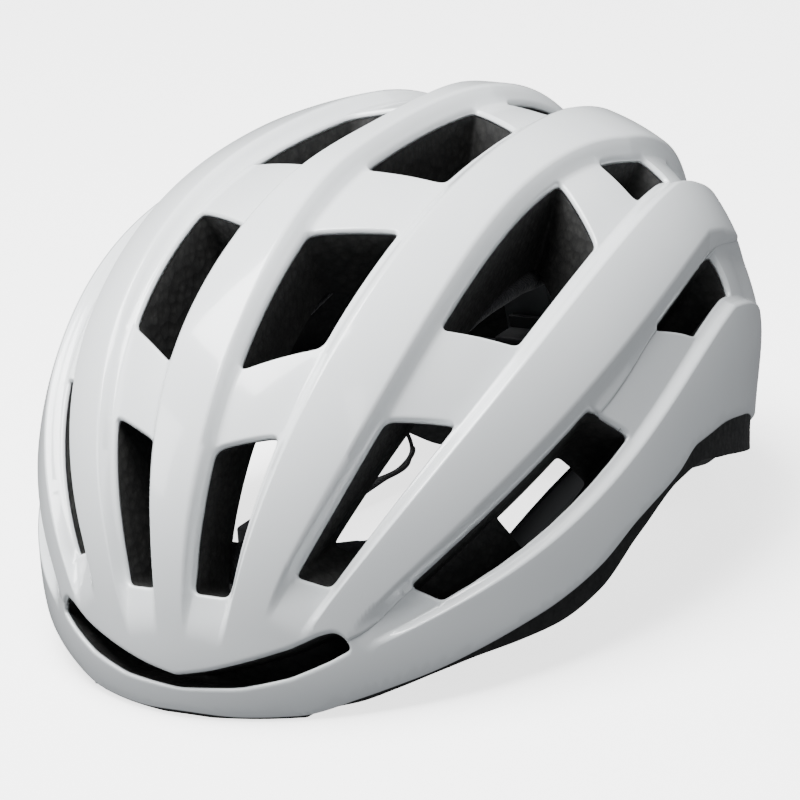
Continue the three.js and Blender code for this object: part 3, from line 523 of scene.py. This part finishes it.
def boundary_edges(faces):
    """Edges with a face on one side only, in the direction that their face has them."""
    seen = set()
    for a, b, c in faces:
        seen.update(((a, b), (b, c), (c, a)))
    return [(a, b) for a, b in seen if (b, a) not in seen]


def walled(outer, inner, faces, steps=1):
    """A closed body between two matching surfaces, with walls of `steps` strips round every edge."""
    used = np.unique(faces)
    renumber = np.full(len(outer), -1)
    renumber[used] = np.arange(len(used))
    faces = renumber[faces]
    count = len(used)
    points = [outer[used], inner[used]]
    polygons = faces.tolist() + (faces[:, ::-1] + count).tolist()
    edge_list = boundary_edges(faces.tolist())
    rim = sorted({i for edge in edge_list for i in edge})
    rungs = {i: [i] for i in rim}
    next_index = 2 * count
    for step in range(1, steps):
        part = step / steps
        points.append(outer[used][rim] * (1 - part) + inner[used][rim] * part)
        for k, i in enumerate(rim):
            rungs[i].append(next_index + k)
        next_index += len(rim)
    for i in rim:
        rungs[i].append(i + count)
    for a, b in edge_list:
        for step in range(steps):
            polygons.append([rungs[b][step], rungs[a][step], rungs[a][step + 1], rungs[b][step + 1]])
    return np.vstack(points), polygons


def facing_out(points, faces):
    """The faces, turned over if they look towards the meridian axis."""
    a, b, c = (points[faces[:, k]] for k in range(3))
    outward = (np.cross(b - a, c - a) * ((a + b + c) / 3 - POLE)).sum()
    return faces if outward > 0 else faces[:, ::-1]


plane_faces = facing_out(heart, plane_faces)
in_vent = any_inside(face_centres, vent_holes)
in_foam_hole = any_inside(face_centres, foam_holes)
in_slot = inside(face_centres, slot)
under_crown = inside(face_centres, seam)
above_shell_edge = inside(face_centres, shell_edge)
above_liner_edge = inside(face_centres, liner_edge)

shell_roll = lip_drop(vent_holes, VENT_LIP) + lip_drop([slot], SLOT_LIP) + lip_drop([shell_edge], SEAM_LIP)
crown_roll = shell_roll + lip_drop([seam], SEAM_LIP)
near_seam = smooth(1 - distance_to(plane_points, [seam]) * scale_here / SEAM_STEP_WIDTH)


def true_normals():
    """The plain ribbed surface's own outward normals."""
    step = 0.05
    along = surface(meridians, stations + step, 0) - surface(meridians, stations - step, 0)
    around = surface(meridians + step, stations, 0) - surface(meridians - step, stations, 0)
    normal = np.cross(along, around)
    normal /= np.linalg.norm(normal, axis=1)[:, None]
    outward = (normal * (heart - POLE)).sum(axis=1)
    return normal * np.sign(outward)[:, None]


surface_normals = true_normals()


def shell_piece(name, chosen, roll, step):
    """A skin of the shell. `roll` rounds its edges over, and `step` sets it lower."""
    outer = surface(meridians, stations, -roll - step)
    inner = surface(meridians, stations, -roll - step - SHELL_THICKNESS)
    piece = mesh_object(name, *walled(outer, inner, plane_faces[chosen]))
    used = np.unique(plane_faces[chosen])
    normals = np.zeros((len(piece.data.vertices), 3))
    plain = np.where(roll[used] < 1e-6, 1.0, 0.0)
    normals[:len(used)] = surface_normals[used] * plain[:, None]
    piece.data.normals_split_custom_set_from_vertices(normals.tolist())
    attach(piece, HELMET)
    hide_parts(name.replace("_skin", "_shell"))
    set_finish(piece, "gloss_shell")
    return piece


on_shell = above_shell_edge & ~in_vent & ~in_slot
crown = shell_piece("crown_skin", on_shell & under_crown, crown_roll, 0)
band = shell_piece("lower_skin", on_shell & ~under_crown, shell_roll, SEAM_STEP * near_seam)

# The foam's inner face is met along level rays at the rim, and along rays from the meridian axis above it.
def clear_of(outlines):
    return distance_to(plane_points, outlines) * scale_here > OUTLINE_CLEARANCE


recessed = any_inside(plane_points, recesses) & clear_of(recesses)
slotted = inside(plane_points, slot) & clear_of([slot])
foam_roll = lip_drop(vent_holes, VENT_LIP) + lip_drop([slot], SLOT_LIP)
foam_lift = LINER_LIFT - foam_roll - RECESS_DEPTH * recessed - SLOT_DEPTH * slotted
foam_face = surface(meridians, stations, foam_lift)
rim_height = height_at(LINER_RIM, bearing_of(heart - DOME))
above_rim = smooth((heart[:, 2] - rim_height) / RIM_BLEND)
level = np.maximum(heart[:, 2], 0)
source = np.stack([np.zeros(len(heart)),
                   CAVITY_CENTRE[1] + (POLE[1] - CAVITY_CENTRE[1]) * above_rim,
                   level + (POLE[2] - level) * above_rim], axis=1)
towards = surface(meridians, stations + lean_back(meridians, stations), 0) - source
towards /= np.linalg.norm(towards, axis=1)[:, None]
wall_reach = ray_hit(source - CAVITY_CENTRE, towards, cavity_gauge, WALL_REACH)
foam_back = source + towards * wall_reach[:, None]
foam_face[:, 2] = np.maximum(foam_face[:, 2], 0)
foam_back[:, 2] = np.maximum(foam_back[:, 2], 0)
foam_faces = plane_faces[above_liner_edge & ~in_foam_hole]
liner = mesh_object("foam_liner", *walled(foam_face, foam_back, foam_faces, FOAM_WALL_STEPS))
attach(liner, HELMET)
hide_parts("eps_liner")
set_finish(liner, "eps_foam")

# ---------------------------------------------------------------- webbing

WEBBING_WIDTH = 15
WEBBING_THICKNESS = 1.4
WEBBING_RINGS = 90
WEBBING_SHARP = 60
WEAVE_SIZE = 10                           # pattern units to a metre of webbing
# Each strap of the left side: its route, and the direction of its width along it.
STRAPS = {
    "strap_front": (
        ((55.6, -86, 20), (53.8, -82, 13), (53.6, -64, 5.2), (53, -40, 2), (52, -1, 1.9)),
        ((0, 1, 0), (0.3, 1, 0), (1, 0.5, 0), (1, 0, 0), (1, 0, 0)),
    ),
    "strap_rear": (
        ((53.8, 64.2, 27.2), (48.8, 69, 25), (43.4, 72.8, 20.2), (39.6, 74, 9.8), (40.2, 67, 5.6),
         (43, 52, 4.9), (50, 28, 2.9), (52, 9, 1.9)),
        ((0.3, 0.9, 0), (0.48, 0.83, -0.2), (0.48, 0.81, -0.34), (0.48, 0.81, -0.34), (0.5, 0.8, -0.34),
         (0.7, 0.6, -0.3), (1, 0.2, 0), (1, 0, 0)),
    ),
    "chin_strap": (
        ((49, 3, 4.9), (44, -14, 4.9), (37, -34, 3.8), (34, -54, 4.2), (26, -65.5, 5), (13, -66, 5)),
        ((1, -0.3, 0), (1, -0.3, 0), (1, -0.3, 0), (0.9, -0.4, 0), (0.5, -0.9, 0), (0, -1, 0)),
    ),
}


def spline(points, steps):
    """Points along a centripetal Catmull-Rom spline, evenly spaced in its parameter."""
    p = np.array(points, float)
    p = np.vstack([2 * p[0] - p[1], p, 2 * p[-1] - p[-2]])
    result = []
    for t in np.linspace(0, len(points) - 1, steps + 1):
        i = min(int(t), len(points) - 2)
        u = t - i
        a, b, c, d = p[i:i + 4]
        gaps = [max(np.linalg.norm(q - r), 1e-4) ** 0.5 for q, r in ((b, a), (c, b), (d, c))]
        leave = ((b - a) / gaps[0] - (c - a) / (gaps[0] + gaps[1]) + (c - b) / gaps[1]) * gaps[1]
        arrive = ((c - b) / gaps[1] - (d - b) / (gaps[1] + gaps[2]) + (d - c) / gaps[2]) * gaps[1]
        result.append(b + leave * u + (3 * (c - b) - 2 * leave - arrive) * u ** 2
                      + (2 * (b - c) + leave + arrive) * u ** 3)
    return np.array(result)


def webbing(name, side, path, acrosses):
    """A woven strap: rounded selvedges, a slightly crowned face, and its length and width as UVs."""
    steps = WEBBING_RINGS
    centres = spline(path, steps)
    tangents = np.gradient(centres, axis=0)
    tangents /= np.linalg.norm(tangents, axis=1)[:, None]
    across = spline(acrosses, steps)
    across -= tangents * (across * tangents).sum(axis=1)[:, None]
    across /= np.linalg.norm(across, axis=1)[:, None]
    normal = np.cross(tangents, across)
    half, deep = WEBBING_WIDTH / 2, WEBBING_THICKNESS / 2
    section = [(-half, 0), (-half + 0.3, deep * 0.75), (-half + 1, deep * 0.92), (-half / 2, deep), (0, deep),
               (half / 2, deep), (half - 1, deep * 0.92), (half - 0.3, deep * 0.75), (half, 0)]
    section += [(u, -v) for u, v in section[-2:0:-1]]
    count = len(section)
    points = np.vstack([[c + a * u + n * v for u, v in section] for c, a, n in zip(centres, across, normal)])
    faces = []
    for ring in range(steps):
        for i in range(count):
            j = (i + 1) % count
            faces.append((ring * count + i, ring * count + j, (ring + 1) * count + j, (ring + 1) * count + i))
    faces.append(tuple(range(count))[::-1])
    faces.append(tuple(steps * count + i for i in range(count)))
    points[:, 0] *= side
    if side > 0:
        faces = [face[::-1] for face in faces]
    strap = mesh_object(name, points, faces, WEBBING_SHARP)
    travelled = np.concatenate([[0], np.cumsum(np.linalg.norm(np.diff(centres, axis=0), axis=1))])
    uv = strap.data.uv_layers.new(name="weave")
    for loop in strap.data.loops:
        ring, place = divmod(loop.vertex_index, count)
        uv.data[loop.index].uv = (travelled[ring] * MM * WEAVE_SIZE, section[place][0] * MM * WEAVE_SIZE)
    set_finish(strap, "webbing")
    return strap


straps = []
for strap_name, (path, acrosses) in STRAPS.items():
    for side, side_name in ((1, "left"), (-1, "right")):
        strap = webbing(f"{strap_name}_web_{side_name}", side, path, acrosses)
        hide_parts(f"{strap_name}_{side_name}")
        straps.append(strap)
        if strap_name == "chin_strap" and side_name == "right":
            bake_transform(strap)
        else:
            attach(strap, HELMET)

# ---------------------------------------------------------------- comfort pads

PADS = {
    "brow_pad": HELMET, "centre_pad": HELMET, "crown_pad_left": HELMET, "crown_pad_right": HELMET,
    "side_pad_left": HELMET, "side_pad_right": HELMET, "occipital_pad_left": "cradle",
    "occipital_pad_right": "cradle",
}
PAD_VOXEL = 0.0016                        # m
PAD_START = 0.0007                        # m, how much smaller than its solid a pad begins
PAD_SWELL = 0.0012                        # m, the most that a point may move out
PAD_PRESSURE = 4
PAD_FRAMES = 20
WELD = 1e-6                               # m, points this close are one


def use_only(obj):
    """Select this object alone."""
    bpy.ops.object.select_all(action="DESELECT")
    obj.select_set(True)
    bpy.context.view_layer.objects.active = obj


def apply_modifier(obj, name):
    use_only(obj)
    bpy.ops.object.modifier_apply(modifier=name)


def cushion(node, body):
    """A pad blown up by cloth pressure from a slightly smaller copy of its solid."""
    source_mesh = frame["nodes"][node].data
    pad = bpy.data.objects.new(f"{node}_cushion", source_mesh.copy())
    bpy.context.scene.collection.objects.link(pad)
    shape = bmesh.new()
    shape.from_mesh(pad.data)
    bmesh.ops.remove_doubles(shape, verts=shape.verts, dist=WELD)
    bmesh.ops.recalc_face_normals(shape, faces=shape.faces)
    shape.to_mesh(pad.data)
    shape.free()
    remesh = pad.modifiers.new("remesh", "REMESH")
    remesh.mode = "VOXEL"
    remesh.voxel_size = PAD_VOXEL
    apply_modifier(pad, "remesh")
    rest = [v.co - v.normal * PAD_START for v in pad.data.vertices]
    for vertex, place in zip(pad.data.vertices, rest):
        vertex.co = place
    cloth = pad.modifiers.new("cloth", "CLOTH")
    cloth.settings.use_pressure = True
    cloth.settings.uniform_pressure_force = PAD_PRESSURE
    cloth.settings.effector_weights.gravity = 0
    cloth.settings.quality = 4
    cloth.point_cache.frame_start = 1
    cloth.point_cache.frame_end = PAD_FRAMES
    for moment in range(1, PAD_FRAMES + 1):
        bpy.context.scene.frame_set(moment)
    apply_modifier(pad, "cloth")
    bpy.context.scene.frame_set(1)
    for vertex, place in zip(pad.data.vertices, rest):
        moved = vertex.co - place
        if moved.length > PAD_SWELL:
            vertex.co = place + moved.normalized() * PAD_SWELL
    soften = pad.modifiers.new("soften", "SMOOTH")
    soften.factor = 0.5
    soften.iterations = 4
    apply_modifier(pad, "soften")
    finer = pad.modifiers.new("finer", "SUBSURF")
    finer.levels = 1
    finer.render_levels = 1
    apply_modifier(pad, "finer")
    pad.data.polygons.foreach_set("use_smooth", [True] * len(pad.data.polygons))
    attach(pad, body)
    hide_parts(node)
    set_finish(pad, "pad_cloth")
    return pad


pads = [cushion(node, body) for node, body in PADS.items()]

# ---------------------------------------------------------------- hard parts

HARD_SLOTS = ("nylon", "grey_nylon", "rubber", "steel")
MOULD_RADIUS = 0.00025                    # m
FLAT_ANGLE = math.radians(1)
BEVEL_ANGLE = math.radians(40)
CREASE_ANGLE = math.radians(32)


def moulded_part(node, body, slot_name):
    """A moulded part with its edges broken as a mould leaves them."""
    part = bpy.data.objects.new(f"{node}_moulded", frame["nodes"][node].data.copy())
    bpy.context.scene.collection.objects.link(part)
    shape = bmesh.new()
    shape.from_mesh(part.data)
    bmesh.ops.remove_doubles(shape, verts=shape.verts, dist=WELD)
    bmesh.ops.dissolve_limit(shape, angle_limit=FLAT_ANGLE, verts=shape.verts, edges=shape.edges)
    shape.to_mesh(part.data)
    shape.free()
    bevel = part.modifiers.new("edges", "BEVEL")
    bevel.width = MOULD_RADIUS
    bevel.segments = 2
    bevel.limit_method = "ANGLE"
    bevel.angle_limit = BEVEL_ANGLE
    apply_modifier(part, "edges")
    part.data.polygons.foreach_set("use_smooth", [True] * len(part.data.polygons))
    part.data.set_sharp_from_angle(angle=CREASE_ANGLE)
    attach(part, body)
    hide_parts(node)
    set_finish(part, slot_name)
    return part


body_of = {node: body for body, nodes in frame["record"]["behaviour"]["bodies"].items() for node in nodes}
hard_parts = [moulded_part(item["node"], body_of[item["node"]], item["material_slot"])
              for item in frame["record"]["subparts"] if item["material_slot"] in HARD_SLOTS]

# ---------------------------------------------------------------- materials


def new_material(name, color, roughness, **sockets):
    """A material with constants on its shader's own sockets."""
    material = bpy.data.materials.new(name)
    material.use_nodes = True
    shader = material.node_tree.nodes["Principled BSDF"]
    shader.inputs["Base Color"].default_value = (*color, 1)
    shader.inputs["Roughness"].default_value = roughness
    for socket, value in sockets.items():
        shader.inputs[socket.replace("_", " ")].default_value = value
    return material, material.node_tree, shader


def add_node(tree, kind, inputs=None, **settings):
    node = tree.nodes.new(kind)
    for key, value in settings.items():
        setattr(node, key, value)
    for key, value in (inputs or {}).items():
        if isinstance(value, bpy.types.NodeSocket):
            tree.links.new(value, node.inputs[key])
        else:
            node.inputs[key].default_value = value
    return node


def object_coordinates(tree):
    return add_node(tree, "ShaderNodeTexCoord").outputs["Object"]


def bump(tree, shader, height, strength, distance):
    node = add_node(tree, "ShaderNodeBump", {"Strength": strength, "Distance": distance, "Height": height})
    tree.links.new(node.outputs["Normal"], shader.inputs["Normal"])


def colour_ramp(tree, factor, stops):
    ramp = add_node(tree, "ShaderNodeValToRGB", {"Fac": factor})
    elements = ramp.color_ramp.elements
    for element, (place, color) in zip(elements, stops):
        element.position = place
        element.color = (*color, 1)
    return ramp.outputs["Color"]


def tint(tree, shader, factor, stops):
    """The base colour varies between some stops."""
    tree.links.new(colour_ramp(tree, factor, stops), shader.inputs["Base Color"])


def roughen(tree, shader, factor, low, high):
    """The roughness varies between two values."""
    spread = add_node(tree, "ShaderNodeMapRange", {"Value": factor, "To Min": low, "To Max": high})
    tree.links.new(spread.outputs["Result"], shader.inputs["Roughness"])


def gloss_white():
    material, tree, shader = new_material("shell_gloss_white", (0.83, 0.86, 0.875), 0.2,
                                          Coat_Weight=0.6, Coat_Roughness=0.06, IOR=1.5)
    where = object_coordinates(tree)
    haze = add_node(tree, "ShaderNodeTexNoise", {"Vector": where, "Scale": 18, "Detail": 3})
    tint(tree, shader, haze.outputs["Fac"], ((0.3, (0.81, 0.84, 0.855)), (0.7, (0.85, 0.88, 0.89))))
    handling = add_node(tree, "ShaderNodeTexNoise", {"Vector": where, "Scale": 60, "Detail": 4})
    roughen(tree, shader, handling.outputs["Fac"], 0.14, 0.26)
    peel = add_node(tree, "ShaderNodeTexNoise", {"Vector": where, "Scale": 260, "Detail": 1})
    bump(tree, shader, peel.outputs["Fac"], 0.05, 0.0002)
    return material


def bead_foam():
    material, tree, shader = new_material("bead_foam_black", (0.02, 0.02, 0.02), 0.75)
    where = object_coordinates(tree)
    beads = add_node(tree, "ShaderNodeTexVoronoi", {"Vector": where, "Scale": 330}, feature="F1")
    grain = add_node(tree, "ShaderNodeTexNoise", {"Vector": where, "Scale": 900, "Detail": 3})
    tint(tree, shader, beads.outputs["Distance"], ((0.1, (0.014, 0.014, 0.013)), (0.75, (0.004, 0.004, 0.004))))
    roughen(tree, shader, grain.outputs["Fac"], 0.55, 0.95)
    bump(tree, shader, beads.outputs["Distance"], 0.5, 0.0006)
    return material


def knit():
    material, tree, shader = new_material("pad_knit", (0.03, 0.032, 0.035), 0.95,
                                          Sheen_Weight=0.3, Sheen_Roughness=0.5)
    where = object_coordinates(tree)
    fibres = add_node(tree, "ShaderNodeTexNoise", {"Vector": where, "Scale": 400, "Detail": 4})
    loops = add_node(tree, "ShaderNodeTexVoronoi", {"Vector": where, "Scale": 1100}, feature="F1")
    tint(tree, shader, fibres.outputs["Fac"], ((0.3, (0.018, 0.019, 0.022)), (0.75, (0.05, 0.052, 0.057))))
    bump(tree, shader, loops.outputs["Distance"], 0.6, 0.0004)
    return material


def moulded(name, dark, light, roughness):
    material, tree, shader = new_material(name, light, roughness)
    where = object_coordinates(tree)
    cloud = add_node(tree, "ShaderNodeTexNoise", {"Vector": where, "Scale": 70, "Detail": 4})
    spark = add_node(tree, "ShaderNodeTexNoise", {"Vector": where, "Scale": 1800, "Detail": 2})
    tint(tree, shader, cloud.outputs["Fac"], ((0.3, dark), (0.7, light)))
    roughen(tree, shader, cloud.outputs["Fac"], roughness - 0.08, roughness + 0.1)
    bump(tree, shader, spark.outputs["Fac"], 0.25, 0.0001)
    return material


def woven():
    material, tree, shader = new_material("webbing_woven", (0.02, 0.02, 0.022), 0.85, Sheen_Weight=0.15)
    where = add_node(tree, "ShaderNodeTexCoord").outputs["UV"]
    waves = []
    for direction, scale, distortion in (("X", 22, 0.4), ("Y", 34, 0.3)):
        wave = add_node(tree, "ShaderNodeTexWave",
                        {"Vector": where, "Scale": scale, "Distortion": distortion, "Detail": 1},
                        wave_type="BANDS", bands_direction=direction)
        waves.append(wave.outputs["Fac"])
    crossing = add_node(tree, "ShaderNodeMath", dict(enumerate(waves)), operation="MULTIPLY")
    tint(tree, shader, crossing.outputs[0], ((0.0, (0.008, 0.008, 0.009)), (0.9, (0.04, 0.041, 0.044))))
    bump(tree, shader, crossing.outputs[0], 0.7, 0.0004)
    return material


def brushed_steel():
    material, tree, shader = new_material("screw_steel", (0.62, 0.63, 0.65), 0.35, Metallic=1.0)
    where = object_coordinates(tree)
    lines = add_node(tree, "ShaderNodeTexNoise", {"Vector": where, "Scale": 900, "Detail": 2})
    roughen(tree, shader, lines.outputs["Fac"], 0.25, 0.5)
    return material


MATERIALS = {
    "gloss_shell": gloss_white(),
    "eps_foam": bead_foam(),
    "pad_cloth": knit(),
    "nylon": moulded("nylon_black", (0.012, 0.012, 0.014), (0.024, 0.025, 0.027), 0.5),
    "grey_nylon": moulded("nylon_grey", (0.06, 0.065, 0.07), (0.09, 0.095, 0.1), 0.5),
    "rubber": moulded("rubber_black", (0.01, 0.01, 0.01), (0.02, 0.02, 0.02), 0.8),
    "webbing": woven(),
    "steel": brushed_steel(),
}


def paint(obj, slot_name):
    obj.data.materials.clear()
    obj.data.materials.append(MATERIALS[slot_name])


for piece in [crown, band, liner, *straps, *pads, *hard_parts]:
    paint(piece, piece["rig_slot"])

# ---------------------------------------------------------------- floor, light and camera


FLOOR_REACH = 6                           # m from the middle to each side
FLOOR_LEVEL = -0.0001                     # m, just clear of the rim's feet
FLOOR_GLOW = 2.4


def floor():
    """A plain pale floor that lights nothing and shows in no reflection."""
    material, tree, shader = new_material("floor_pale", (0.9, 0.9, 0.9), 0.9)
    shader.inputs["Emission Color"].default_value = (1, 1, 1, 1)
    shader.inputs["Emission Strength"].default_value = FLOOR_GLOW
    mesh = bpy.data.meshes.new("floor")
    corners = [(x * FLOOR_REACH, y * FLOOR_REACH, FLOOR_LEVEL) for x, y in ((-1, -1), (1, -1), (1, 1), (-1, 1))]
    mesh.from_pydata(corners, [], [(0, 1, 2, 3)])
    mesh.materials.append(material)
    ground = bpy.data.objects.new("floor", mesh)
    bpy.context.scene.collection.objects.link(ground)
    ground.visible_diffuse = False
    ground.visible_glossy = False


def area_light(name, place, size, power, target=(0, 0, 0.08)):
    light = bpy.data.lights.new(name, "AREA")
    light.shape = "RECTANGLE"
    light.size, light.size_y = size
    light.energy = power
    lamp = bpy.data.objects.new(name, light)
    lamp.location = place
    lamp.rotation_euler = (Vector(target) - Vector(place)).to_track_quat("-Z", "Y").to_euler()
    bpy.context.scene.collection.objects.link(lamp)


def studio():
    world = bpy.data.worlds.new("studio")
    world.use_nodes = True
    world.node_tree.nodes["Background"].inputs["Color"].default_value = (0.93, 0.96, 1.0, 1)
    world.node_tree.nodes["Background"].inputs["Strength"].default_value = 0.3
    bpy.context.scene.world = world
    area_light("overhead", (-0.25, -0.35, 1.6), (1.3, 1.0), 95)
    area_light("front_left", (1.3, -1.0, 1.1), (0.2, 1.0), 2.5)
    area_light("front_right", (-1.4, -1.5, 0.9), (0.8, 0.9), 16)


# The camera's own axes in the frame: across, up, and back towards the camera.
VIEW_RIGHT = Vector((0.8700, 0.4878, -0.0721))
VIEW_UP = Vector((-0.1062, 0.3281, 0.9386))
VIEW_BACK = Vector((0.4815, -0.8090, 0.3373))
VIEW_DISTANCE = 2.2                       # m from the dome's centre
VIEW_AIM = (-0.0008, 0.0278)              # m from the dome's centre, across and up in the view
VIEW_LENS = 300
SENSOR_WIDTH = 36


def place_camera():
    camera = bpy.data.objects.new("camera", bpy.data.cameras.new("camera"))
    camera.data.lens = VIEW_LENS
    camera.data.sensor_width = SENSOR_WIDTH
    middle = Vector(DOME * MM)
    aim = middle + VIEW_RIGHT * VIEW_AIM[0] + VIEW_UP * VIEW_AIM[1]
    camera.location = middle + VIEW_BACK * VIEW_DISTANCE
    back = (camera.location - aim).normalized()
    right = VIEW_UP.cross(back).normalized()
    up = back.cross(right)
    camera.rotation_euler = Matrix((right, up, back)).transposed().to_euler()
    bpy.context.scene.collection.objects.link(camera)
    bpy.context.scene.camera = camera


floor()
studio()
place_camera()
